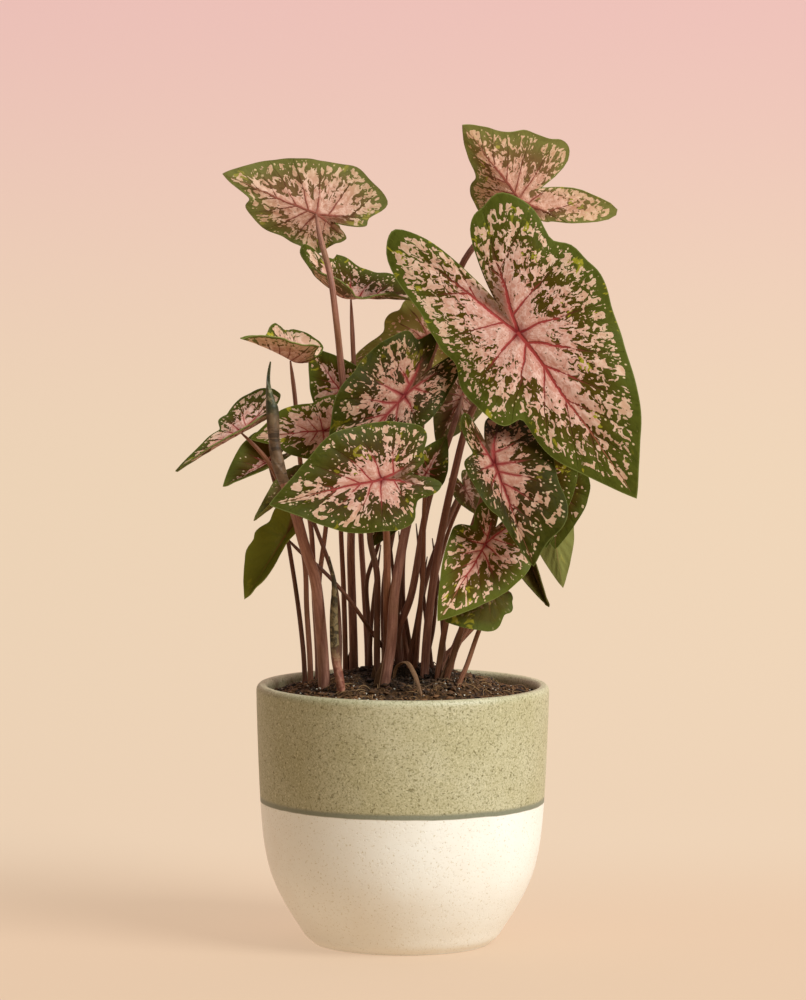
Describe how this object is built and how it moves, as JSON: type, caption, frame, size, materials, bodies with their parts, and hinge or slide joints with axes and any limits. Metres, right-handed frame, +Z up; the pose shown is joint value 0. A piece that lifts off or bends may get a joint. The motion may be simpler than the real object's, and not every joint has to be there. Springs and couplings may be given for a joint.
{
  "type": "potted caladium",
  "caption": "Caladium plant with pink-centred green arrow-shaped leaves on thin stalks, standing in a round two-tone glazed ceramic planter filled with potting mix.",
  "frame": {"origin": "centre of the pot's flat foot", "axes": "+Z up along the pot's axis, -Y towards the front of the plant, +X to the viewer's right"},
  "size_m": [0.2566, 0.1972, 0.4615],
  "materials": {
    "pot": "speckled sage glaze above a grey band, cream glaze below, satin",
    "soil": "matt loose potting mix",
    "blade": "satin leaf, dark green margin with pink patches",
    "stalk": "satin, pinkish brown",
    "furled_leaf": "satin, grey-green with brown cross bands",
    "sprout": "satin, yellow-brown sheath"
  },
  "bodies": {
    "root": {"leaf_01_blade": "blade", "leaf_01_stalk": "stalk", "leaf_02_blade": "blade", "leaf_02_stalk": "stalk", "leaf_03_blade": "blade", "leaf_03_stalk": "stalk", "leaf_04_blade": "blade", "leaf_04_stalk": "stalk", "leaf_05_blade": "blade", "leaf_05_stalk": "stalk", "leaf_06_blade": "blade", "leaf_06_stalk": "stalk", "leaf_07_blade": "blade", "leaf_07_stalk": "stalk", "leaf_08_blade": "blade", "leaf_08_stalk": "stalk", "leaf_09_blade": "blade", "leaf_09_stalk": "stalk", "leaf_10_blade": "blade", "leaf_10_stalk": "stalk", "leaf_11_blade": "blade", "leaf_11_stalk": "stalk", "leaf_12_blade": "blade", "leaf_12_stalk": "stalk", "leaf_13_blade": "blade", "leaf_13_stalk": "stalk", "leaf_14_blade": "blade", "leaf_14_stalk": "stalk", "leaf_15_blade": "blade", "leaf_15_stalk": "stalk", "leaf_16_blade": "blade", "leaf_16_stalk": "stalk", "leaf_17_blade": "blade", "leaf_17_stalk": "stalk", "leaf_18_blade": "blade", "leaf_18_stalk": "stalk", "leaf_19_blade": "blade", "leaf_19_stalk": "stalk", "leaf_20_blade": "blade", "leaf_20_stalk": "stalk", "leaf_21_blade": "blade", "leaf_21_stalk": "stalk", "leaf_22_blade": "blade", "leaf_22_stalk": "stalk", "leaf_23_blade": "blade", "leaf_23_stalk": "stalk", "leaf_24_blade": "blade", "leaf_24_stalk": "stalk", "leaf_25_blade": "blade", "leaf_25_stalk": "stalk", "leaf_26_blade": "blade", "leaf_26_stalk": "stalk", "leaf_27_blade": "blade", "leaf_27_stalk": "stalk", "furled_leaf": "furled_leaf", "furled_leaf_stalk": "stalk", "sprout": "sprout", "pot": "pot", "soil": "soil"}
  },
  "joints": []
}
